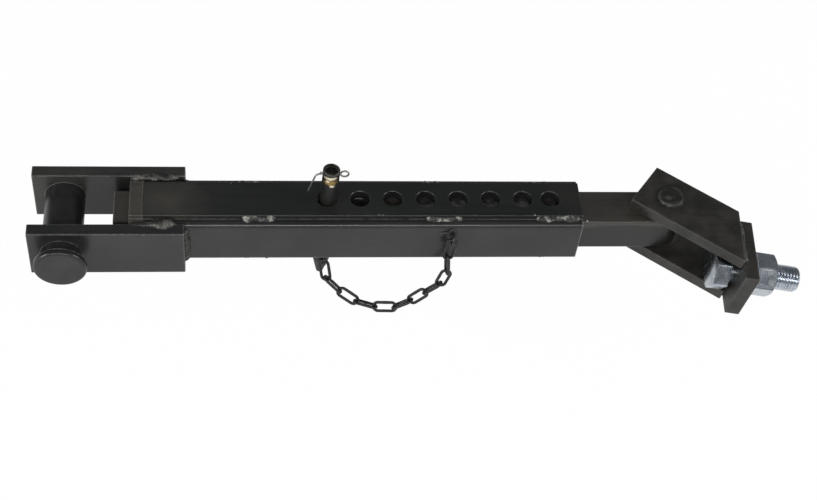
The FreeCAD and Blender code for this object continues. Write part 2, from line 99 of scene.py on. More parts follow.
def hexColour(text):
    # sRGB hex to linear
    values = [int(text[i:i + 2], 16) / 255 for i in (1, 3, 5)]
    return [v / 12.92 if v <= 0.04045 else ((v + 0.055) / 1.055) ** 2.4 for v in values] + [1.0]


def addNode(tree, kind, inputs=None, **settings):
    # one node, with its settings, and its inputs as values or as sockets to link from
    made = tree.nodes.new(kind)
    for key, value in settings.items():
        setattr(made, key, value)
    for key, value in (inputs or {}).items():
        if isinstance(value, bpy.types.NodeSocket):
            tree.links.new(value, made.inputs[key])
        else:
            made.inputs[key].default_value = value
    return made


def emptyTree(owner):
    owner.use_nodes = True
    owner.node_tree.nodes.clear()
    return owner.node_tree


def number(tree, operation, *values, clamp=False):
    inputs = dict(enumerate(values))
    return addNode(tree, "ShaderNodeMath", inputs, operation=operation, use_clamp=clamp).outputs[0]


def vectorMath(tree, operation, *values):
    made = addNode(tree, "ShaderNodeVectorMath", dict(enumerate(values)), operation=operation)
    return made.outputs["Value" if operation in ("LENGTH", "DOT_PRODUCT") else "Vector"]


def ranged(tree, value, source, target=(0.0, 1.0)):
    # a value carried from one range to another and held at its ends
    return addNode(tree, "ShaderNodeMapRange", {
        "Value": value, "From Min": source[0], "From Max": source[1],
        "To Min": target[0], "To Max": target[1]}).outputs["Result"]


def mixColour(tree, factor, first, second):
    # 6 and 7 are the mix node's colour inputs, 2 its colour output
    inputs = {"Factor": factor, 6: first, 7: second}
    return addNode(tree, "ShaderNodeMix", inputs, data_type="RGBA").outputs[2]


def addPlaced(name, data, position, back, side):
    # a camera or lamp that looks away from back, with side to its right
    turn = Matrix((side, back.cross(side), back)).transposed().to_4x4()
    turn.translation = position
    made = bpy.data.objects.new(name, data)
    made.matrix_world = turn
    bpy.context.scene.collection.objects.link(made)
    return made


def makeCamera():
    data = bpy.data.cameras.new("camera")
    data.sensor_width = cameraSpec["sensorMm"]
    data.lens = cameraSpec["sensorMm"] * cameraSpec["focalLength"]
    data.shift_x, data.shift_y = cameraSpec["shift"]
    data.clip_end = cameraSpec["clipEnd"]
    back = -Vector(cameraSpec["forward"]).normalized()
    right = Vector(cameraSpec["right"]).normalized()
    bpy.context.scene.camera = addPlaced("camera", data, cameraSpec["position"], back, right)


def makeLights():
    aim = Vector(lightSpec["aim"])
    for name in ("frontSoftbox", "rightSoftbox", "leftSoftbox"):
        spec = lightSpec[name]
        data = bpy.data.lights.new(name, "AREA")
        data.shape = "RECTANGLE"
        data.size, data.size_y = spec["size"]
        data.energy = spec["power"]
        position = Vector(spec["from"])
        back = -(aim - position).normalized()
        addPlaced(name, data, position, back, Vector((0, 0, 1)).cross(back).normalized())


def makeRoom():
    world = bpy.data.worlds.new("studio")
    bpy.context.scene.world = world
    tree = emptyTree(world)
    coords = addNode(tree, "ShaderNodeTexCoord").outputs["Generated"]
    height = addNode(tree, "ShaderNodeSeparateXYZ", {0: coords}).outputs["Z"]
    blendUp = ranged(tree, height, lightSpec["fade"])
    shade = mixColour(tree, blendUp, hexColour(lightSpec["horizon"]), hexColour(lightSpec["overhead"]))
    room = addNode(tree, "ShaderNodeBackground", {"Color": shade, "Strength": 1.0})
    addNode(tree, "ShaderNodeOutputWorld", {"Surface": room.outputs[0]})


def makeFloor():
    level = cadBox[0][2] - floorSpec["below"]
    half = floorSpec["size"] / 2
    corners = [(x * half, y * half, level) for x, y in ((-1, -1), (1, -1), (1, 1), (-1, 1))]
    mesh = bpy.data.meshes.new("floor")
    mesh.from_pydata(corners, [], [(0, 1, 2, 3)])
    plane = bpy.data.objects.new("floor", mesh)
    bpy.context.scene.collection.objects.link(plane)
    paper = bpy.data.materials.new("paleBackgroundPaper")
    tree = emptyTree(paper)
    matt = addNode(tree, "ShaderNodeBsdfDiffuse", {"Color": hexColour(floorSpec["colour"])})
    glow = addNode(tree, "ShaderNodeEmission", {"Color": (1, 1, 1, 1), "Strength": 1.0})
    rays = addNode(tree, "ShaderNodeLightPath").outputs
    seen = number(tree, "MULTIPLY", rays["Is Camera Ray"], floorSpec["whiteSeen"])
    bounced = number(tree, "ADD", rays["Is Glossy Ray"], rays["Is Transmission Ray"])
    share = number(tree, "MULTIPLY_ADD", bounced, floorSpec["whiteMirrored"], seen, clamp=True)
    mixed = addNode(tree, "ShaderNodeMixShader", {0: share, 1: matt.outputs[0], 2: glow.outputs[0]})
    addNode(tree, "ShaderNodeOutputMaterial", {"Surface": mixed.outputs[0]})
    plane.data.materials.append(paper)


makeCamera()
makeLights()
makeRoom()
makeFloor()
bpy.context.scene.view_settings.view_transform = "Standard"
print("stage: camera, light and floor")


# Materials. Sizes of patterns in millimetres. A range is where a pattern starts and is full.
steelPaintIor = 1.5
bevelSamples = 6

# Satin enamel sprayed on rolled steel: a soft sheen, slight cloudiness, thin at the edges, where pale lines
# are partly rubbed-through paint and partly painted highlight.
paintLook = {
    "paint": "#1d1e1e", "cloud": "#282827", "worn": "#9a9a96",
    "cloudMm": 45.0, "cloudRange": (0.35, 0.7),
    "rollMm": (90.0, 5.0, 5.0), "rollTurn": 0.0, "rollRange": (0.3, 0.7), "rollShade": (0.88, 1.12),
    "roughness": 0.31, "roughnessSpread": 0.06,
    "edgeMm": 0.5, "wearMm": 2.0, "wearRange": (0.985, 0.86), "wear": 0.6,
    "chipMm": 4.5, "chipRange": (0.26, 0.60),
    "grainMm": 1.3, "grainDepthMm": 0.05, "grainStrength": 0.35,
    "ringMm": None, "ringShare": 0.25,
    "spots": (),
}
# A patch of another colour round a point. Without raggedMm, its edge is broken at raggedShare of its size.
spotLook = {
    "stretch": (1, 1, 1), "share": 1.0, "soft": 0.35,
    "raggedMm": None, "raggedShare": 0.45, "ragged": 1.3,
}


def bevelled(tree, sizeMm):
    return addNode(tree, "ShaderNodeBevel", {"Radius": sizeMm * mm}, samples=bevelSamples).outputs[0]


def noiseFac(tree, coords, scale, detail):
    inputs = {"Vector": coords, "Scale": scale, "Detail": detail}
    return addNode(tree, "ShaderNodeTexNoise", inputs).outputs["Fac"]


def grainNoise(tree, coords, sizeMm, detail=3.0):
    return noiseFac(tree, coords, 1000.0 / sizeMm, detail)


def spread(middle, either):
    return middle - either, middle + either


def spotMask(tree, coords, spot):
    # 1 inside the patch, with a broken edge
    offset = vectorMath(tree, "SUBTRACT", coords, [v * mm for v in spot["at"]])
    distance = vectorMath(tree, "LENGTH", vectorMath(tree, "MULTIPLY", offset, spot["stretch"]))
    broken = grainNoise(tree, coords, spot["raggedMm"] or spot["raggedShare"] * spot["mm"], 4.0)
    edge = number(tree, "MULTIPLY_ADD", broken, spot["ragged"] * spot["mm"] * mm, distance)
    reach = (1 + 0.5 * spot["ragged"]) * spot["mm"] * mm
    mask = ranged(tree, edge, (reach, reach * (1 - spot["soft"])))
    return number(tree, "MULTIPLY", mask, spot["share"])


def satinPaint(name, **changes):
    look = dict(paintLook, **changes)
    material = bpy.data.materials.new(name)
    tree = emptyTree(material)
    coords = addNode(tree, "ShaderNodeTexCoord").outputs["Object"]
    # the coat's cloudiness, and faint streaks along the rolled steel
    cloud = ranged(tree, grainNoise(tree, coords, look["cloudMm"], 4.0), look["cloudRange"])
    rolled = addNode(tree, "ShaderNodeMapping", {
        "Vector": coords, "Rotation": (0, 0, math.radians(-look["rollTurn"])),
        "Scale": [1000.0 / size for size in look["rollMm"]]}, vector_type="POINT").outputs[0]
    streaks = noiseFac(tree, rolled, 1.0, 4.0)
    base = mixColour(tree, cloud, hexColour(look["paint"]), hexColour(look["cloud"]))
    shade = ranged(tree, streaks, look["rollRange"], look["rollShade"])
    base = addNode(tree, "ShaderNodeVectorMath", {0: base, "Scale": shade}, operation="SCALE").outputs[0]
    # pale lines where an edge stands out, partly rubbed-through paint and partly painted highlight, broken up
    # by chips
    flat = addNode(tree, "ShaderNodeNewGeometry").outputs["True Normal"]
    agree = vectorMath(tree, "DOT_PRODUCT", bevelled(tree, look["wearMm"]), flat)
    edge = ranged(tree, agree, look["wearRange"])
    chips = ranged(tree, grainNoise(tree, coords, look["chipMm"], 5.0), look["chipRange"])
    wear = number(tree, "MULTIPLY", number(tree, "MULTIPLY", edge, chips), look["wear"], clamp=True)
    colour = mixColour(tree, wear, base, hexColour(look["worn"]))
    for changed in look["spots"]:
        spot = dict(spotLook, **changed)
        colour = mixColour(tree, spotMask(tree, coords, spot), colour, hexColour(spot["colour"]))
    height = grainNoise(tree, coords, look["grainMm"])
    if look["ringMm"]:
        # turning marks round an axis along Y
        radius = vectorMath(tree, "LENGTH", vectorMath(tree, "MULTIPLY", coords, (1, 0, 1)))
        phase = number(tree, "MULTIPLY", radius, 2 * math.pi * 1000.0 / look["ringMm"])
        height = number(tree, "MULTIPLY_ADD", number(tree, "SINE", phase), look["ringShare"], height)
    bump = addNode(tree, "ShaderNodeBump", {
        "Height": height, "Strength": look["grainStrength"],
        "Distance": look["grainDepthMm"] * mm, "Normal": bevelled(tree, look["edgeMm"])}).outputs[0]
    rough = ranged(tree, streaks, look["rollRange"], spread(look["roughness"], look["roughnessSpread"]))
    shader = addNode(tree, "ShaderNodeBsdfPrincipled", {
        "Base Color": colour, "Roughness": rough, "IOR": steelPaintIor, "Normal": bump})
    addNode(tree, "ShaderNodeOutputMaterial", {"Surface": shader.outputs[0]})
    return material


# Mild steel weld under the same paint: rough, ash grey in patches where the paint is thin; on the stitch
# welds the pale patches are also a painted glint.
weldLook = {
    "paint": "#242422", "crest": "#3c3b38", "crestMm": 9.0, "start": 0.45, "full": 0.70,
    "flowMm": 1.8, "flowDepthMm": 0.25, "flowStrength": 0.6, "roughness": 0.42,
}


def paintedWeld(name, **changes):
    look = dict(weldLook, **changes)
    material = bpy.data.materials.new(name)
    tree = emptyTree(material)
    coords = addNode(tree, "ShaderNodeTexCoord").outputs["Object"]
    patches = ranged(tree, grainNoise(tree, coords, look["crestMm"], 4.0), (look["start"], look["full"]))
    colour = mixColour(tree, patches, hexColour(look["paint"]), hexColour(look["crest"]))
    bump = addNode(tree, "ShaderNodeBump", {
        "Height": grainNoise(tree, coords, look["flowMm"], 4.0),
        "Strength": look["flowStrength"], "Distance": look["flowDepthMm"] * mm}).outputs[0]
    shader = addNode(tree, "ShaderNodeBsdfPrincipled", {
        "Base Color": colour, "Roughness": look["roughness"], "IOR": steelPaintIor, "Normal": bump})
    addNode(tree, "ShaderNodeOutputMaterial", {"Surface": shader.outputs[0]})
    return material


# Bright bare metal: cloudy in colour and in shine, with a very fine grain.
metalLook = {
    "colour": "#d2d8de", "cloud": "#b0b8c2", "cloudMm": 9.0, "cloudRange": (0.35, 0.65),
    "roughness": 0.25, "roughnessSpread": 0.06, "shineShare": 0.6, "shineRange": (0.3, 0.7),
    "grainMm": 0.8, "grainDepthMm": 0.015, "grainStrength": 0.4,
}


def brightMetal(name, **changes):
    look = dict(metalLook, **changes)
    material = bpy.data.materials.new(name)
    tree = emptyTree(material)
    coords = addNode(tree, "ShaderNodeTexCoord").outputs["Object"]
    clouds = ranged(tree, grainNoise(tree, coords, look["cloudMm"], 4.0), look["cloudRange"])
    tint = mixColour(tree, clouds, hexColour(look["colour"]), hexColour(look["cloud"]))
    patches = grainNoise(tree, coords, look["shineShare"] * look["cloudMm"])
    rough = ranged(tree, patches, look["shineRange"], spread(look["roughness"], look["roughnessSpread"]))
    bump = addNode(tree, "ShaderNodeBump", {
        "Height": grainNoise(tree, coords, look["grainMm"]),
        "Strength": look["grainStrength"], "Distance": look["grainDepthMm"] * mm}).outputs[0]
    shader = addNode(tree, "ShaderNodeBsdfPrincipled", {
        "Base Color": tint, "Metallic": 1.0, "Roughness": rough, "Normal": bump})
    addNode(tree, "ShaderNodeOutputMaterial", {"Surface": shader.outputs[0]})
    return material


# Plain black enamel on the flat plates: the even satin face that most of the part shows, with strong pale
# edge lines, partly rubbed-through paint and partly painted highlight.
platePaint = satinPaint("satinEnamelOnPlate", wear=0.9)
# The back ear's coat: lighter, with a painted shadow, a dark patch on its inner face where the pin and the
# other ear shade it.
backEarPaintAndShadow = satinPaint(
    "satinEnamelOnBackEarPaintedShadow", paint="#2a2a29", cloud="#353533", wear=0.9, spots=(
        # painted shadow: a near-black patch on the inner face round the pin
        {"at": (50, 27.75, -6), "mm": 40.0, "colour": "#0b0c0c", "share": 0.85, "stretch": (0.7, 3, 1.1),
         "soft": 0.5, "ragged": 0.4},
    ))
# A thin dusty coat on the collar: brown grey beside the black.
collarPaint = satinPaint("satinEnamelOnCollar", paint="#3e3c38", cloud="#474540", worn="#807f79")
# Cover plates: the darkest and smoothest coat, dusty near both ends, with one pale fleck.
coverPaint = satinPaint(
    "satinEnamelOnCovers", paint="#191b1b", cloud="#232423", worn="#70706d",
    cloudMm=80.0, wear=0.5, wearMm=1.2, spots=(
        {"at": (90, 0, 29.5), "mm": 42, "colour": "#43413c", "share": 0.85, "soft": 0.7, "ragged": 0.8},
        {"at": (462, 4, 29.5), "mm": 26, "colour": "#2b2926", "share": 0.7, "soft": 0.8},
        {"at": (282, -19, 29.5), "mm": 0.9, "colour": "#d8d8d2", "share": 0.9},
    ))
# The bar's thin coat over drawn steel: warm grey with fine streaks, a painted light band along its top where
# it shows through the cover's holes, and a dark end.
barPaint = satinPaint(
    "satinEnamelOnBarWithPaintedLight", paint="#383632", cloud="#403e39",
    cloudMm=35.0, rollMm=(60.0, 2.2, 2.2), wear=0.8, spots=(
        # painted light: a pale band along the bar's top, lighting it under the cover's holes
        {"at": (372, -4, 19), "mm": 10.0, "colour": "#b8b8b5", "share": 0.85, "stretch": (0.11, 1, 1),
         "raggedMm": 7.0},
        {"at": (476, -17.5, 19), "mm": 1.1, "colour": "#c4c3bc"},
        {"at": (515, -19, -3), "mm": 17.0, "colour": "#141414", "stretch": (0.22, 5, 0.9),
         "soft": 0.15, "ragged": 0.1, "share": 0.9},
    ))
# The fork's flame-cut plates: duller and blotchy, with dark stains round the pivot and, just right of it, a
# painted dark reflection.
forkPaint = satinPaint(
    "satinEnamelOnFork", paint="#1f1e1c", cloud="#33312d", worn="#6b6a64", wear=0.9, cloudMm=16.0,
    edgeMm=1.6, wearMm=2.4, roughness=0.46, rollMm=(40.0, 3.0, 3.0), rollTurn=-38.0, spots=(
        {"at": (555, 0, 32.5), "mm": 17.0, "colour": "#121110", "share": 0.8, "soft": 0.5, "raggedMm": 6.0},
        {"at": (606, -36, 32.5), "mm": 8.0, "colour": "#121110", "share": 0.8, "soft": 0.6},
        {"at": (590, -18, 32.5), "mm": 8.0, "colour": "#151413", "share": 0.65, "soft": 0.7},
        # painted reflection: the dark patch just right of the pivot
        {"at": (576, -8, 32.5), "mm": 10.0, "colour": "#151413", "share": 0.6, "soft": 0.7},
        {"at": (552, -2, 34.8), "mm": 3.0, "colour": "#55534e", "share": 0.6, "stretch": (0.5, 1, 1),
         "raggedMm": 2.0, "ragged": 2.0},
    ))
# The clevis pin: the same enamel over turning marks, seen as fine rings on its head.
pinPaint = satinPaint(
    "satinEnamelOnTurnedPin", paint="#181818", cloud="#242424", worn="#8a8a86",
    wear=0.9, ringMm=2.2, cloudMm=18.0, grainDepthMm=0.16)
# The lock pin: dull black with a painted shadow in the recess on top and pale and yellow rubbed marks below
# it.
lockPinPaint = satinPaint(
    "blackedTurnedPin", paint="#111210", cloud="#1b1c19", worn="#77756a",
    wear=0.7, roughness=0.46, cloudMm=9.0, edgeMm=0.4, wearMm=1.2, spots=(
        # painted shadow: near-black filling the recess on top
        {"at": (238.2, 0, 66.0), "mm": 5.6, "colour": "#040404", "ragged": 0.1, "soft": 0.1},
        {"at": (237.2, -8.0, 59.6), "mm": 5.4, "colour": "#8a733f", "raggedMm": 2.2, "ragged": 1.6,
         "stretch": (0.7, 0.5, 1.2)},
        {"at": (237.0, -8.0, 65.4), "mm": 4.6, "colour": "#e0d7ba", "raggedMm": 2.0,
         "stretch": (0.6, 0.5, 2.2)},
        {"at": (238.8, -8.0, 55.2), "mm": 2.2, "colour": "#e9dfc0", "raggedMm": 1.2,
         "stretch": (0.8, 0.6, 1.2)},
        {"at": (234.6, -7.4, 61.4), "mm": 1.7, "colour": "#e6dcc0", "raggedMm": 1.2,
         "stretch": (0.8, 0.6, 1.2)},
    ))
# Enamel on thin wire: plain black, a little rubbed on the bends, where the pale lines are partly painted
# highlight.
wirePaint = satinPaint(
    "satinEnamelOnWire", paint="#171817", cloud="#20211f",
    cloudMm=12.0, edgeMm=0.3, wearMm=0.6, rollMm=(6.0, 6.0, 6.0))
# The chain's black oxide: blue black and duller than paint.
chainPaint = satinPaint(
    "blackOxideOnChain", paint="#0e0f10", cloud="#1c1d1e", worn="#3c3f40", cloudMm=9.0,
    grainMm=0.7, edgeMm=0.3, wearMm=0.6, roughness=0.42, rollMm=(5.0, 5.0, 5.0))
# Well covered welds: dark, told from the plates only by their ripples.
weldPaint = paintedWeld("paintedWeld")
# The large clevis welds: grey crests in wide patches.
clevisWeldPaint = paintedWeld("paintedWeldOnClevis", crest="#66645e", crestMm=12.0, flowMm=3.5)
# The stitch welds: pale patches on top, partly bare weld metal and partly painted glint along the box's edge.
paleWeldPaintWithGlint = paintedWeld("paintedWeldThinOnTopWithPaintedGlint", crest="#a3a199", crestMm=5.5, start=0.50, full=0.68)
# Electroplated zinc: bluish, cloudy and bright against the black.
zincPlate = brightMetal("zincPlatedSteel")
# Drawn wire: a greyer, warmer shine.
drawnWire = brightMetal(
    "brightDrawnWire", colour="#a9a9a4", cloud="#7d7c76", cloudMm=3.0,
    roughness=0.30, roughnessSpread=0.08, grainMm=0.4, grainDepthMm=0.02)

finishes = (
    (platePaint, ("ear_front", "side_wall_front", "side_wall_back")),
    (backEarPaintAndShadow, ("ear_back",)),
    (collarPaint, ("end_collar",)),
    (coverPaint, ("top_cover", "bottom_cover")),
    (barPaint, ("sliding_bar",)),
    (forkPaint, ("fork_top_plate", "fork_bottom_plate", "fork_end_plate", "pivot_pin")),
    (pinPaint, ("clevis_pin", "clevis_pin_head")),
    (lockPinPaint, ("lock_pin",)),
    (wirePaint, ("lock_pin_eye", "chain_staple")),
    (drawnWire, ("split_pin",)),
    (zincPlate, ("washer",)),
)


def finishNode(name, material):
    made = nodes[name]
    if not made.material_slots:
        made.data.materials.append(None)
    for place in made.material_slots:
        place.link = "OBJECT"
        place.material = material


for material, names in finishes:
    for name in names:
        finishNode(name, material)
print("stage: materials on the construction pieces")


# Above this angle between two faces, in degrees, their edge stays sharp.
sharpAngle = 40.0


def newPiece(name, build, material, body, replaced=()):
    # a mesh piece in the object's frame, shaded smooth below the sharp angle
    shape = bmesh.new()
    build(shape)
    bmesh.ops.recalc_face_normals(shape, faces=shape.faces)
    mesh = bpy.data.meshes.new(name)
    shape.to_mesh(mesh)
    shape.free()
    mesh.materials.append(material)
    made = bpy.data.objects.new(name, mesh)
    bpy.context.scene.collection.objects.link(made)
    mesh.shade_smooth()
    mesh.set_sharp_from_angle(angle=math.radians(sharpAngle))
    if body:
        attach(made, body)
    if replaced:
        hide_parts(*replaced)
    return made


def skin(shape, rings, closed=False):
    # faces between rings of points, capped at both ends unless the rings close on themselves
    made = [[shape.verts.new(point) for point in ring] for ring in rings]
    around = len(made[0])
    pairs = list(zip(made, made[1:])) + ([(made[-1], made[0])] if closed else [])
    for low, high in pairs:
        for i in range(around):
            j = (i + 1) % around
            shape.faces.new((low[i], low[j], high[j], high[i]))
    if not closed:
        for ring in (made[0], made[-1]):
            middle = shape.verts.new(sum((v.co for v in ring), Vector()) / around)
            for i in range(around):
                shape.faces.new((ring[i], ring[(i + 1) % around], middle))


# Weld beads. Each run lies in an inside corner between two faces, and its ripples bow towards its end.
weldSpec = {
    "rippleMm": 3.4, "rippleDepth": 0.12, "ripplePower": 0.7, "bow": 0.5,
    "wander": 0.8, "wanderPerMm": 0.12,
    "lumpMm": 7.0, "lumpAcross": 1.6, "lump": 0.34,
    "sink": 0.5,           # millimetres that a bead reaches into its corner
    "tuck": 6.0,           # degrees that its skin runs on into each face
    "endLength": 0.9,      # length of its rounded ends, as a share of its radius
    "endLeast": 0.02,
    "around": 12, "stepMm": 0.45, "leastSteps": 14, "ringSteps": 150,
}


def beadRings(frames, radius, profile, seed, closed=False, sweep=90.0):
    # frames: (share, point, first, second); the bead turns from the first direction towards the second
    spec = weldSpec
    rings = []
    length = sum((b[1] - a[1]).length for a, b in zip(frames, frames[1:])) / mm
    for share, point, first, second in frames:
        along = share * length
        swell = profile(share) if profile else 1.0
        if not closed:
            fromEnd = min(along, length - along) / (spec["endLength"] * radius)
            swell *= math.sqrt(max(spec["endLeast"], 1 - (1 - min(1, fromEnd)) ** 2))
        wander = spec["wander"] * noise.noise(Vector((spec["wanderPerMm"] * along, seed, 3.7)))
        ring = [point - (first + second) * spec["sink"] * mm]
        for j in range(spec["around"] + 1):
            across = j / spec["around"]
            angle = math.radians((sweep + 2 * spec["tuck"]) * across - spec["tuck"])
            bow = spec["bow"] * spec["rippleMm"] * (1 - ((across - 0.5) * 2) ** 2)
            wave = abs(math.sin(math.pi * ((along - bow) / spec["rippleMm"] + wander)))
            dip = spec["rippleDepth"] * (1 - wave ** spec["ripplePower"])
            lump = noise.noise(Vector((along / spec["lumpMm"], seed, spec["lumpAcross"] * across)))
            reach = radius * swell * (1 - dip + spec["lump"] * lump)
            ring.append(point + (first * math.cos(angle) + second * math.sin(angle)) * reach * mm)
        rings.append(ring)
    return rings


def straightBead(shape, start, end, radius, first, second, profile=None, seed=0.0, sweep=90.0):
    start, end = Vector(start) * mm, Vector(end) * mm
    count = max(weldSpec["leastSteps"], int((end - start).length / (weldSpec["stepMm"] * mm)))
    shares = [i / count for i in range(count + 1)]
    frames = [(share, start.lerp(end, share), Vector(first), Vector(second)) for share in shares]
    skin(shape, beadRings(frames, radius, profile, seed, sweep=sweep))


def ringBead(shape, centre, innerRadius, radius, up, seed):
    count = weldSpec["ringSteps"]
    frames = []
    for i in range(count):
        turn = 2 * math.pi * i / count
        out = Vector((math.cos(turn), math.sin(turn), 0))
        frames.append((i / count, (Vector(centre) + out * innerRadius) * mm, out, Vector((0, 0, up))))
    skin(shape, beadRings(frames, radius, None, seed, closed=True), closed=True)


def shaped(points):
    # radius factor along a bead, straight between (share, factor) points
    def factor(share):
        for (a, low), (b, high) in zip(points, points[1:]):
            if share <= b:
                return low + (high - low) * (share - a) / (b - a)
        return points[-1][1]
    return factor


def boxMm(name):
    low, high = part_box(name)
    return Vector(low) / mm, Vector(high) / mm


coverLow, coverHigh = boxMm("top_cover")
wallLow, wallHigh = boxMm("side_wall_front")
backHigh = boxMm("side_wall_back")[1]
earHigh = boxMm("ear_front")[1]
collarLow = boxMm("end_collar")[0]

# Short welds between the covers and the walls. Front and back give where each starts and ends along X.
stitchSpec = {
    "radius": 3.9, "seed": 1.3, "seedStep": 2.7,
    "profile": ((0, 0.8), (0.2, 1.12), (0.45, 0.78), (0.55, 0.8), (0.75, 1.15), (1, 0.8)),
    "front": ((159.0, 190.0), (325.0, 359.0), (427.0, 468.0)),
    "back": ((155.0, 176.0), (324.0, 341.0), (419.0, 445.0)),
}


def boxStitches(shape):
    seed = stitchSpec["seed"]
    radius, profile = stitchSpec["radius"], shaped(stitchSpec["profile"])
    for side, y in ((-1, coverLow.y), (1, coverHigh.y)):
        for lowX, highX in stitchSpec["front" if side < 0 else "back"]:
            for up in (1, -1):
                seed += stitchSpec["seedStep"]
                start, stop = (lowX, y, up * wallHigh.z), (highX, y, up * wallHigh.z)
                straightBead(shape, start, stop, radius, (0, side, 0), (0, 0, up), profile, seed)


# Long welds where the ears lap the walls, and upright ones at the ears' ends.
clevisWeldSpec = {
    "radius": 5.6, "sweep": 170.0, "startGap": 1.0, "endGap": 6.0, "seed": 40.0, "seedStep": 3.1,
    "front": ((0, 0.5), (0.3, 0.7), (0.5, 1.0), (0.75, 1.1), (0.88, 0.8), (1, 0.35)),
    "back": ((0, 0.7), (0.1, 0.8), (0.2, 0.5), (0.5, 0.8), (0.85, 0.75), (1, 0.35)),
    "earEndRadius": 4.6, "earEndGaps": (2.0, 4.0), "earEndSeed": 60.0,
}


def clevisBeads(shape):
    spec = clevisWeldSpec
    seed = spec["seed"]
    for side, y in ((-1, wallLow.y), (1, backHigh.y)):
        profile = shaped(spec["front" if side < 0 else "back"])
        for up in (1, -1):
            seed += spec["seedStep"]
            start = (collarLow.x + spec["startGap"], y, up * wallHigh.z)
            stop = (earHigh.x - spec["endGap"], y, up * wallHigh.z)
            straightBead(
                shape, start, stop, spec["radius"], (0, -side, 0), (0, 0, up), profile, seed, spec["sweep"])


def earEndBeads(shape):
    spec = clevisWeldSpec
    below, above = spec["earEndGaps"]
    for side, y in ((-1, wallLow.y), (1, backHigh.y)):
        start, stop = (earHigh.x, y, wallLow.z + below), (earHigh.x, y, wallHigh.z - above)
        seed = spec["earEndSeed"] + side
        straightBead(shape, start, stop, spec["earEndRadius"], (1, 0, 0), (0, side, 0), None, seed)


# Welds of the fork's end plate, whose frame follows the bolt's axis, and round both ends of the pivot.
endSpec = {
    "heightMm": 54.0, "acrossMm": 2.9, "upMm": 1.6,
    "beads": {1: (-17.0, 30.7), -1: (-12.8, 30.7)}, "radius": 4.2, "seed": 70.0,
    "pivotRadius": 2.8, "pivotSeed": 80.0,
}
boltAxis = Vector(jointSpecs["nut_spin"]["axis"]).normalized()
boltSeat = Vector(jointSpecs["nut_spin"]["pos_m"]) / mm
boltSide = Vector((0, 0, 1)).cross(boltAxis).normalized()
boltUp = boltAxis.cross(boltSide)
pivot = Vector(jointSpecs["fork_swivel"]["pos_m"]) / mm
forkHigh = boxMm("fork_top_plate")[1]
pivotLow, pivotHigh = boxMm("pivot_pin")


def forkBeads(shape):
    spec = endSpec
    centre = boltSeat + boltSide * spec["acrossMm"] + boltUp * spec["upMm"]
    for up, (low, high) in spec["beads"].items():
        edge = centre + boltUp * (up * spec["heightMm"] / 2)
        start, stop = edge + boltSide * low, edge + boltSide * high
        straightBead(shape, start, stop, spec["radius"], boltAxis, boltUp * up, None, spec["seed"] + up)
        face = (pivot.x, pivot.y, up * forkHigh.z)
        pinRadius = 0.5 * (pivotHigh.x - pivotLow.x)
        ringBead(shape, face, pinRadius, spec["pivotRadius"], up, spec["pivotSeed"] + up)


# Small drops of weld metal, as x, y, z and radius, and the two drops and smear that hold the staple.
spatterSpec = {
    "uneven": 0.22, "unevenShare": 1.3, "squash": (1.15, 1.0, 0.75),
    "drops": (
        (282.0, -19.2, 29.4, 0.7), (285.5, -18.9, 29.4, 0.5), (352.0, -24.5, 25.0, 0.6),
        (370.0, -19.0, 29.4, 0.6), (425.0, -19.0, 29.4, 0.8), (98.0, -17.5, 29.4, 0.8),
        (104.0, -15.5, 29.4, 0.6), (112.0, -25.0, 25.0, 0.7), (96.0, 17.0, 29.4, 0.6),
        (150.0, 18.0, 29.4, 0.5),
    ),
    "staple": {"x": 350.0, "z": 8.0, "rise": 9.0, "radius": 2.6, "squash": (1.25, 0.5, 1.0)},
    "smear": {
        "start": (338.0, 14.0), "stop": (347.5, 16.0), "inset": 0.3, "radius": 1.5,
        "first": (0, -0.6, 0.8), "second": (0, -0.6, -0.8), "seed": 91.0,
    },
}


def drop(shape, place, radius, squash):
    # a flattened lump of metal with an uneven skin
    place = Vector(place)
    for v in bmesh.ops.create_icosphere(shape, subdivisions=3, radius=radius * mm)["verts"]:
        spot = v.co / (spatterSpec["unevenShare"] * radius * mm) + place
        uneven = 1 + spatterSpec["uneven"] * noise.noise(spot)
        v.co = Vector(a * b for a, b in zip(v.co, squash)) * uneven + place * mm


def spatter(shape):
    for x, y, z, radius in spatterSpec["drops"]:
        drop(shape, (x, y, z), radius, spatterSpec["squash"])


def stapleWelds(shape):
    spec, smear = spatterSpec["staple"], spatterSpec["smear"]
    for z in (spec["z"], spec["z"] + spec["rise"]):
        drop(shape, (spec["x"], wallLow.y, z), spec["radius"], spec["squash"])
    start, stop = [(x, wallLow.y + smear["inset"], z) for x, z in (smear["start"], smear["stop"])]
    straightBead(
        shape, start, stop, smear["radius"], smear["first"], smear["second"], None, smear["seed"])


newPiece("boxStitchWelds", boxStitches, paleWeldPaintWithGlint, "outer", ("box_welds",))
newPiece("clevisWelds", clevisBeads, clevisWeldPaint, "outer", ("clevis_welds",))
newPiece("earEndWelds", earEndBeads, weldPaint, "outer", ("clevis_welds",))
newPiece("forkWelds", forkBeads, weldPaint, "fork", ("fork_welds",))
newPiece("weldSpatter", spatter, paleWeldPaintWithGlint, "outer")
newPiece("stapleWelds", stapleWelds, weldPaint, "outer")
print("stage: welds")


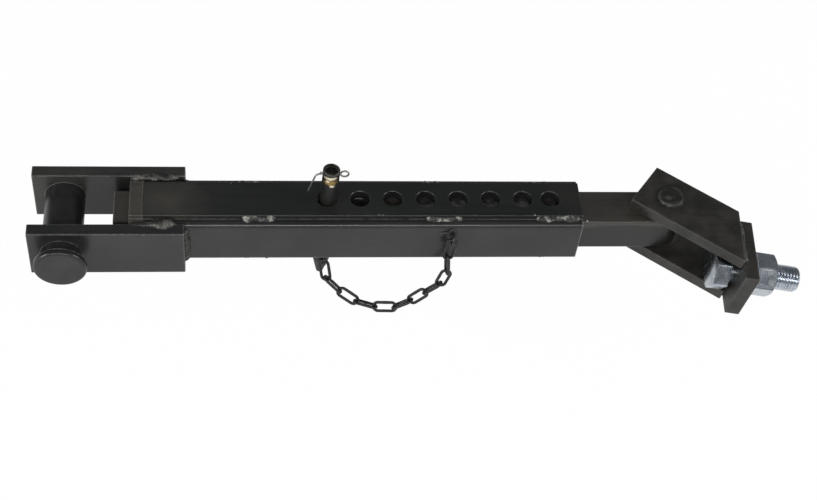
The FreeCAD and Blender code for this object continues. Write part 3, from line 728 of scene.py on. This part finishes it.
# Bolt and nut, built along the bolt's axis from the end plate's inner face.
boltSpec = {
    "flats": 36.0, "headHeight": 15.0, "standOff": 6.0,
    "diameter": 24.0, "length": 64.0, "chamfer": 2.0, "tipSlope": 0.9,
    "plate": 14.0, "washer": 4.0,
    "nutHeight": 21.5, "nutTurn": -8.0, "bore": 24.9, "boreChamfer": 1.2,
    "faceShare": 0.475, "chamferAngle": 30.0, "cornerEase": 0.985, "capRadius": 2.0, "hexSteps": 144,
    "shankSteps": 72, "shankPlay": 0.02, "shankInHead": 2.0, "shankInset": 0.6,
    "pitch": 3.0, "threadDepth": 1.45, "threadInNut": 1.0, "stepsPerPitch": 12,
    "grooveHalf": 0.42, "grooveRoot": 0.86,      # half width of the groove, and where its V is cut off flat
}


def boltPoint(x, radius, turn):
    out = boltSide * (radius * math.cos(turn)) + boltUp * (radius * math.sin(turn))
    return (boltSeat + boltAxis * x + out) * mm


def hexRadius(turn):
    # distance from the axis to a flat-topped hexagon's side, with the corners eased
    half = boltSpec["flats"] / 2
    corner = half / math.cos(math.pi / 6)
    nearest = (turn + math.pi / 6) % (math.pi / 3) - math.pi / 6
    return min(half / math.cos(math.pi / 6 - abs(nearest)), corner * boltSpec["cornerEase"])


def hexBody(shape, start, stop, turned, chamferStart, chamferStop, bore):
    spec = boltSpec
    face = spec["faceShare"] * spec["flats"]
    slope = math.tan(math.radians(spec["chamferAngle"]))
    turns = [2 * math.pi * i / spec["hexSteps"] for i in range(spec["hexSteps"])]
    rings = []

    def ring(x, radius, share=0.0, way=0):
        # share of the way out from a circle to the hexagon; its corners are chamfered one way along the axis
        points = []
        for turn in turns:
            out = radius + (hexRadius(turn) - radius) * share
            points.append(boltPoint(x + way * max(0, out - radius) * slope, out, turn + math.radians(turned)))
        rings.append(points)

    inside = [(spec["capRadius"], 0.0)]
    if bore:
        inside = [(bore / 2, spec["boreChamfer"]), (bore / 2 + spec["boreChamfer"], 0.0)]
    for radius, deep in inside:
        ring(start + deep, radius)
    ring(start, face)
    for share in (0.5, 1.0):
        ring(start, face, share, int(chamferStart))
    for share in (1.0, 0.5):
        ring(stop, face, share, -int(chamferStop))
    ring(stop, face)
    for radius, deep in reversed(inside):
        ring(stop - deep, radius)
    skin(shape, rings, closed=bool(bore))


def threadedShank(shape):
    spec = boltSpec
    around, pitch, stop = spec["shankSteps"], spec["pitch"], spec["length"]
    radius = spec["diameter"] / 2 - spec["shankPlay"]
    threadStart = spec["plate"] + spec["washer"] + spec["nutHeight"] - spec["threadInNut"]
    step = pitch / spec["stepsPerPitch"]
    places = [-spec["standOff"] - spec["shankInHead"], threadStart]
    places += [threadStart + step * i for i in range(1, int((stop - threadStart) / step))] + [stop]
    rings = []
    for x in places:
        tip = radius - max(0.0, x - (stop - spec["chamfer"])) * spec["tipSlope"]
        ring = []
        for i in range(around):
            phase = ((x - threadStart) / pitch - i / around) % 1.0
            groove = max(0.0, 1 - abs(phase - 0.5) / spec["grooveHalf"])
            groove = min(groove, spec["grooveRoot"]) / spec["grooveRoot"]
            depth = spec["threadDepth"] * groove if x > threadStart else spec["shankInset"]
            ring.append(boltPoint(x, min(radius - depth, tip), 2 * math.pi * i / around))
        rings.append(ring)
    skin(shape, rings)


def boltShape(shape):
    under = -boltSpec["standOff"]
    hexBody(shape, under - boltSpec["headHeight"], under, 0.0, True, False, 0.0)
    threadedShank(shape)


def nutShape(shape):
    start = boltSpec["plate"] + boltSpec["washer"]
    hexBody(shape, start, start + boltSpec["nutHeight"], boltSpec["nutTurn"], True, True, boltSpec["bore"])


newPiece("boltWithThread", boltShape, zincPlate, "fork", ("bolt",))
newPiece("hexNut", nutShape, zincPlate, "nut", ("nut",))
print("stage: bolt and nut")


# Chain. The meeting points of its links run from the lock pin's eye to the staple.
chainSpec = {
    "length": 24.4, "width": 11.0, "wire": 2.9,
    "hookWire": 2.5,      # wire that the links' centre lines are laid out for
    "gap": 0.3, "ease": 4.0, "tilt": (-0.12, -0.61, 0.78), "twist": 18.0,
    "butt": {"height": 0.22, "at": 1.0, "reach": 1.1}, "uneven": 0.05, "unevenPerMm": (0.4, 0.6),
    "around": 12, "bendSteps": 14, "straightSteps": 6,
    "points": (
        (236.12, -10.44, -50.63),
        (239.11, -16.69, -68.09),
        (252.37, -22.64, -79.94),
        (267.94, -28.78, -88.82),
        (286.04, -33.98, -90.47),
        (304.16, -37.34, -86.52),
        (318.53, -38.79, -74.34),
        (330.88, -39.39, -59.80),
        (343.32, -40.78, -45.59),
        (348.18, -40.57, -27.39),
        (346.84, -37.84, -8.67),
        (350.00, -33.65, 9.65),
    ),
}


def linkPath():
    # centre line of a link's wire, in the link's own plane
    spec = chainSpec
    bend = (spec["width"] - spec["hookWire"]) / 2
    straight = (spec["length"] - spec["hookWire"]) / 2 - bend
    path = []
    for end in (1, -1):
        for i in range(spec["bendSteps"] + 1):
            turn = math.radians(90 - 180 * i / spec["bendSteps"])
            path.append((end * (straight + bend * math.cos(turn)), end * bend * math.sin(turn)))
        for i in range(1, spec["straightSteps"]):
            path.append((end * straight * (1 - 2 * i / spec["straightSteps"]), -end * bend))
    return path


def linkShape(middle, along, across, seed):
    def build(shape):
        spec, butt, path = chainSpec, chainSpec["butt"], linkPath()
        nearA, nearB = spec["unevenPerMm"]
        normal = along.cross(across)
        rings = []
        for k, (a, b) in enumerate(path):
            before, after = path[k - 1], path[(k + 1) % len(path)]
            run = (along * (after[0] - before[0]) + across * (after[1] - before[1])).normalized()
            out = run.cross(normal)
            # the wire's ends are butt welded on one side
            lump = butt["height"] * math.exp(-((a - butt["at"]) / butt["reach"]) ** 2) if b < 0 else 0.0
            centre = middle + along * a + across * b
            ring = []
            for i in range(spec["around"]):
                turn = 2 * math.pi * i / spec["around"]
                uneven = spec["uneven"] * noise.noise(Vector((nearA * a, nearB * b + i, seed)))
                radius = spec["wire"] / 2 + lump + uneven
                ring.append((centre + (out * math.cos(turn) + normal * math.sin(turn)) * radius) * mm)
            rings.append(ring)
        skin(shape, rings, closed=True)
    return build


def makeChain():
    points = [Vector(point) for point in chainSpec["points"]]
    hook = (chainSpec["hookWire"] + chainSpec["gap"]) / 2
    hooks = [hook]
    for before, here, after in zip(points, points[1:], points[2:]):
        bend = (here - before).angle(after - here)
        hooks.append(hook / math.cos(bend / 2) ** chainSpec["ease"])
    hooks.append(hook)
    tilt = Vector(chainSpec["tilt"])
    for i in range(len(points) - 1):
        along = (points[i + 1] - points[i]).normalized()
        middle = (points[i] + points[i + 1] + along * (hooks[i + 1] - hooks[i])) / 2
        across = along.cross(tilt)
        if i % 2:
            across = across.cross(along)
        across = Matrix.Rotation(math.radians(chainSpec["twist"]), 3, along) @ across.normalized()
        node = "chain_link_%02d" % (i + 1)
        build = linkShape(middle, along, across, float(i))
        made = newPiece("chainLink%02d" % (i + 1), build, chainPaint, None)
        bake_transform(made)
        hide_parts(node)


makeChain()
print("stage: chain")
